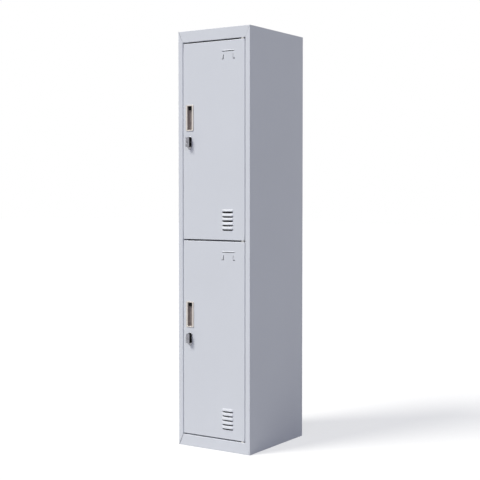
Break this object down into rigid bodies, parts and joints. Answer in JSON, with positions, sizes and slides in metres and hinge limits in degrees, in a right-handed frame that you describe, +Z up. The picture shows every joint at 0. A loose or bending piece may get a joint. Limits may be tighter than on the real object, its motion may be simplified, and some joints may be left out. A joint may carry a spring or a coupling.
{
  "type": "school locker",
  "caption": "Tall two-tier steel locker with hinged louvred doors, recessed pulls, turn-knob cam locks, a middle shelf and hanging rails inside.",
  "frame": {"origin": "on the floor, under the middle of the object's whole box (the lock knobs stand proud of the front and count in it)", "axes": "+Z up, front and doors towards -Y, +X to the right as seen from the front, on the hinge side"},
  "size_m": [0.38, 0.4696, 1.85],
  "materials": {
    "grey_powder_coat": "light grey satin powder coat",
    "zinc_plated_steel": "zinc plated",
    "bright_chrome": "polished",
    "satin_nickel": "satin plated",
    "taupe_plastic": "fine moulded texture",
    "black_plastic": "moulded, semi-matt",
    "white_nylon": "natural nylon",
    "black_rubber": "matt"
  },
  "bodies": {
    "frame": {"back_panel": "grey_powder_coat", "bottom_panel": "grey_powder_coat", "hinge_plate_rivet_1": "zinc_plated_steel", "hinge_plate_rivet_2": "zinc_plated_steel", "left_side_panel": "grey_powder_coat", "lower_buffer_foot": "black_rubber", "lower_buffer_top": "black_rubber", "lower_coat_rail": "zinc_plated_steel", "lower_door_foot_washer": "white_nylon", "lower_door_top_washer": "white_nylon", "lower_rail_socket_left": "black_plastic", "lower_rail_socket_right": "black_plastic", "middle_hinge_pin": "zinc_plated_steel", "middle_hinge_plate": "zinc_plated_steel", "middle_shelf": "grey_powder_coat", "right_side_panel": "grey_powder_coat", "top_panel": "grey_powder_coat", "upper_buffer_foot": "black_rubber", "upper_buffer_top": "black_rubber", "upper_coat_rail": "zinc_plated_steel", "upper_door_foot_washer": "white_nylon", "upper_door_top_washer": "white_nylon", "upper_rail_socket_left": "black_plastic", "upper_rail_socket_right": "black_plastic"},
    "upper_door": {"upper_bolt_bracket": "zinc_plated_steel", "upper_bolt_spring": "zinc_plated_steel", "upper_door_panel": "grey_powder_coat", "upper_door_stiffener": "grey_powder_coat", "upper_handle_bezel": "satin_nickel", "upper_handle_cup": "taupe_plastic", "upper_lock_barrel": "zinc_plated_steel", "upper_lock_nut": "zinc_plated_steel", "upper_lock_plate": "bright_chrome"},
    "upper_latch": {"upper_cam_screw": "zinc_plated_steel", "upper_lock_cam": "zinc_plated_steel", "upper_lock_face": "bright_chrome", "upper_lock_knob": "black_plastic"},
    "upper_key": {"upper_key_plug": "bright_chrome"},
    "upper_hinge_bolt": {"upper_hinge_bolt": "zinc_plated_steel"},
    "lower_door": {"lower_bolt_bracket": "zinc_plated_steel", "lower_bolt_spring": "zinc_plated_steel", "lower_door_panel": "grey_powder_coat", "lower_door_stiffener": "grey_powder_coat", "lower_handle_bezel": "satin_nickel", "lower_handle_cup": "taupe_plastic", "lower_lock_barrel": "zinc_plated_steel", "lower_lock_nut": "zinc_plated_steel", "lower_lock_plate": "bright_chrome"},
    "lower_latch": {"lower_cam_screw": "zinc_plated_steel", "lower_lock_cam": "zinc_plated_steel", "lower_lock_face": "bright_chrome", "lower_lock_knob": "black_plastic"},
    "lower_key": {"lower_key_plug": "bright_chrome"},
    "lower_hinge_bolt": {"lower_hinge_bolt": "zinc_plated_steel"}
  },
  "joints": [
    {"name": "upper_door_hinge", "type": "hinge", "parent": "frame", "child": "upper_door", "pos_m": [0.1495, -0.20575, 1.36175], "axis": [0, 0, 1], "range_deg": [0, 110]},
    {"name": "upper_latch_turn", "type": "hinge", "parent": "upper_door", "child": "upper_latch", "pos_m": [-0.1275, -0.21475, 1.359], "axis": [0, 1, 0], "range_deg": [0, 90]},
    {"name": "upper_key_turn", "type": "hinge", "parent": "upper_latch", "child": "upper_key", "pos_m": [-0.1275, -0.21475, 1.359], "axis": [0, 1, 0], "range_deg": [0, 90]},
    {"name": "upper_hinge_bolt_slide", "type": "slide", "parent": "upper_door", "child": "upper_hinge_bolt", "axis": [0, 0, 1], "range_m": [-0.008, 0], "stiffness_N_per_m": 250, "springref_m": 0.006, "deforming": ["upper_bolt_spring"]},
    {"name": "lower_door_hinge", "type": "hinge", "parent": "frame", "child": "lower_door", "pos_m": [0.1495, -0.20575, 0.48825], "axis": [0, 0, 1], "range_deg": [0, 110]},
    {"name": "lower_latch_turn", "type": "hinge", "parent": "lower_door", "child": "lower_latch", "pos_m": [-0.1275, -0.21475, 0.4855], "axis": [0, 1, 0], "range_deg": [0, 90]},
    {"name": "lower_key_turn", "type": "hinge", "parent": "lower_latch", "child": "lower_key", "pos_m": [-0.1275, -0.21475, 0.4855], "axis": [0, 1, 0], "range_deg": [0, 90]},
    {"name": "lower_hinge_bolt_slide", "type": "slide", "parent": "lower_door", "child": "lower_hinge_bolt", "axis": [0, 0, 1], "range_m": [0, 0.008], "stiffness_N_per_m": 250, "springref_m": -0.006, "deforming": ["lower_bolt_spring"]}
  ]
}
